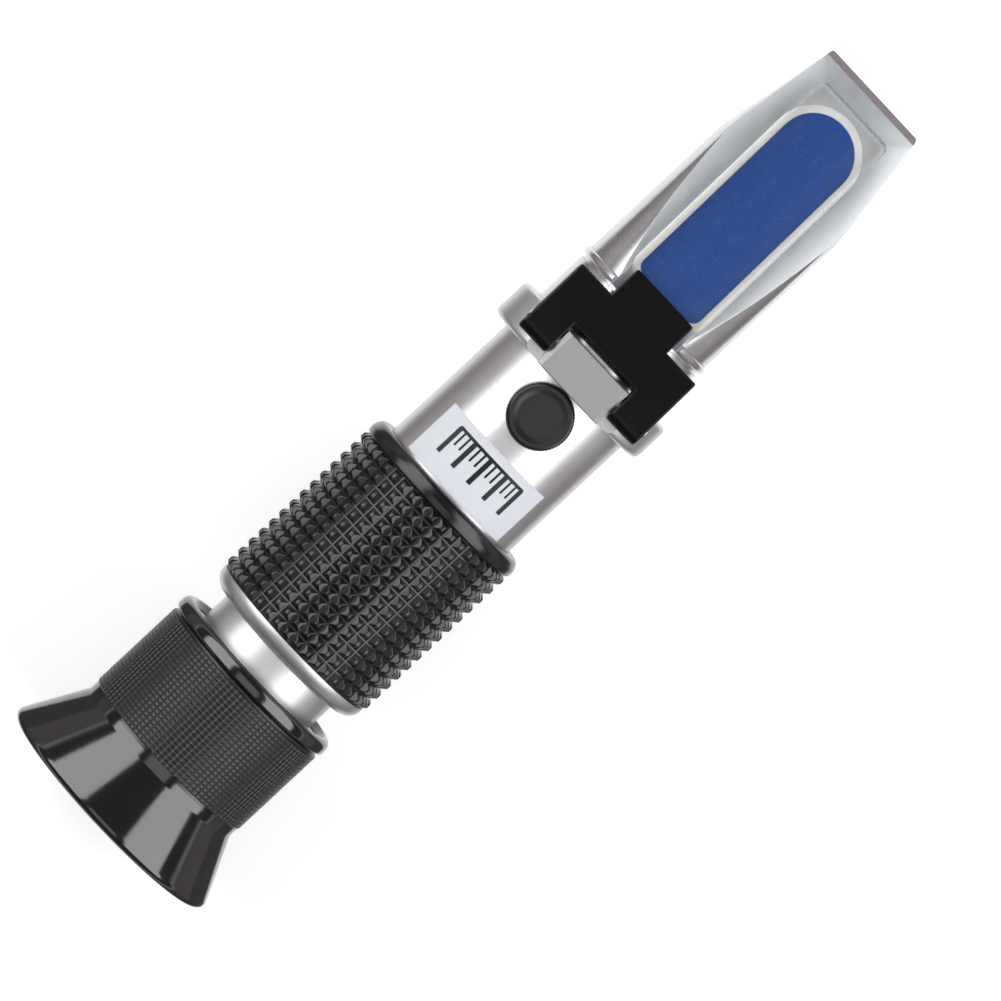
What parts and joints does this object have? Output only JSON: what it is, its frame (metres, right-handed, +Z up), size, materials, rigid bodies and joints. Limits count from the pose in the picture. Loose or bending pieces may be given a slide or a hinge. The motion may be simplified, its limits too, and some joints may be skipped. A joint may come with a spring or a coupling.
{
  "type": "handheld refractometer",
  "caption": "Handheld refractometer: flared rubber eyecup, studded grip and tube, zero screw under a cap, hinged clear plate over a blue prism.",
  "frame": {"origin": "centre of the eyecup's rim plane, on the optical axis", "axes": "+X along the optical axis from the eyecup to the prism, +Z up through the daylight plate, +Y to the left when looking from the eyecup towards the prism"},
  "size_m": [0.1567, 0.0404, 0.0404],
  "materials": {
    "soft_rubber": "satin moulded black rubber, knurled and studded",
    "cap_rubber": "smooth moulded black rubber",
    "polished_tube": "bright plated tube with fine turning lines",
    "satin_silver": "satin silver, bead blasted and plated",
    "milled_housing": "plated turned body with a fine milled flat",
    "steel": "bright turned steel",
    "brass": "turned brass",
    "bimetal": "rolled two-metal strip",
    "black_anodised": "matt black anodised",
    "clear_glass": "polished optical glass",
    "blue_glass": "polished blue glass",
    "clear_plastic": "clear acrylic with polished faces and frosted ends",
    "black_plastic": "fine satin moulded plastic",
    "sealant": "pale cured sealant",
    "label": "white film sticker with plain printed marks"
  },
  "bodies": {
    "root": {"main_tube": "polished_tube", "eyepiece_tube": "satin_silver", "rear_flange": "satin_silver", "rubber_grip": "soft_rubber", "tube_label": "label", "scale_disc": "clear_glass", "scale_ring": "black_anodised", "light_baffle": "black_anodised", "screw_bush": "satin_silver", "hinge_collar": "satin_silver", "collar_set_screws": "steel", "hinge_pin": "steel", "prism_housing": "milled_housing", "main_prism": "blue_glass", "prism_sealant": "sealant", "return_spring": "steel"},
    "lens_cell": {"eyepiece_cell": "black_anodised", "eye_lens": "clear_glass", "lens_spacer": "black_anodised", "field_lens": "clear_glass", "lens_retainer": "black_anodised"},
    "focus_ring": {"eyecup": "soft_rubber", "focus_sleeve": "satin_silver"},
    "objective_group": {"lens_carriage": "brass", "bimetal_strip": "bimetal", "strip_screws": "steel", "objective_mount": "black_anodised", "objective_lens": "clear_glass", "objective_ring": "black_anodised"},
    "zero_screw": {"calibration_screw": "brass"},
    "cap": {"screw_cap": "cap_rubber"},
    "cover": {"hinge_leaf": "black_plastic", "daylight_plate": "clear_plastic"}
  },
  "joints": [
    {"name": "focus_travel", "type": "slide", "parent": "root", "child": "lens_cell", "axis": [1, 0, 0], "range_m": [-0.003, 0.003]},
    {"name": "focus_turn", "type": "hinge", "parent": "lens_cell", "child": "focus_ring", "pos_m": [0.02, 0, 0], "axis": [1, 0, 0], "range_deg": [-181, 181]},
    {"name": "objective_travel", "type": "slide", "parent": "root", "child": "objective_group", "axis": [0, 0, 1], "range_m": [-0.00068, 0.00068], "deforming": ["return_spring"]},
    {"name": "calibration_turn", "type": "hinge", "parent": "objective_group", "child": "zero_screw", "pos_m": [0.08835, 0, 0.0125], "axis": [0, 0, 1], "range_deg": [-543, 543]},
    {"name": "cap_pull", "type": "slide", "parent": "root", "child": "cap", "axis": [0, 0, 1], "range_m": [0, 0.004]},
    {"name": "cover_hinge", "type": "hinge", "parent": "root", "child": "cover", "pos_m": [0.0979, 0, 0.01511], "axis": [0, -1, 0], "range_deg": [0, 120]}
  ],
  "couplings": [
    {"joint": "focus_turn", "follows": "focus_travel", "rad_per_m": 1047.2},
    {"joint": "calibration_turn", "follows": "objective_travel", "rad_per_m": 13963}
  ]
}
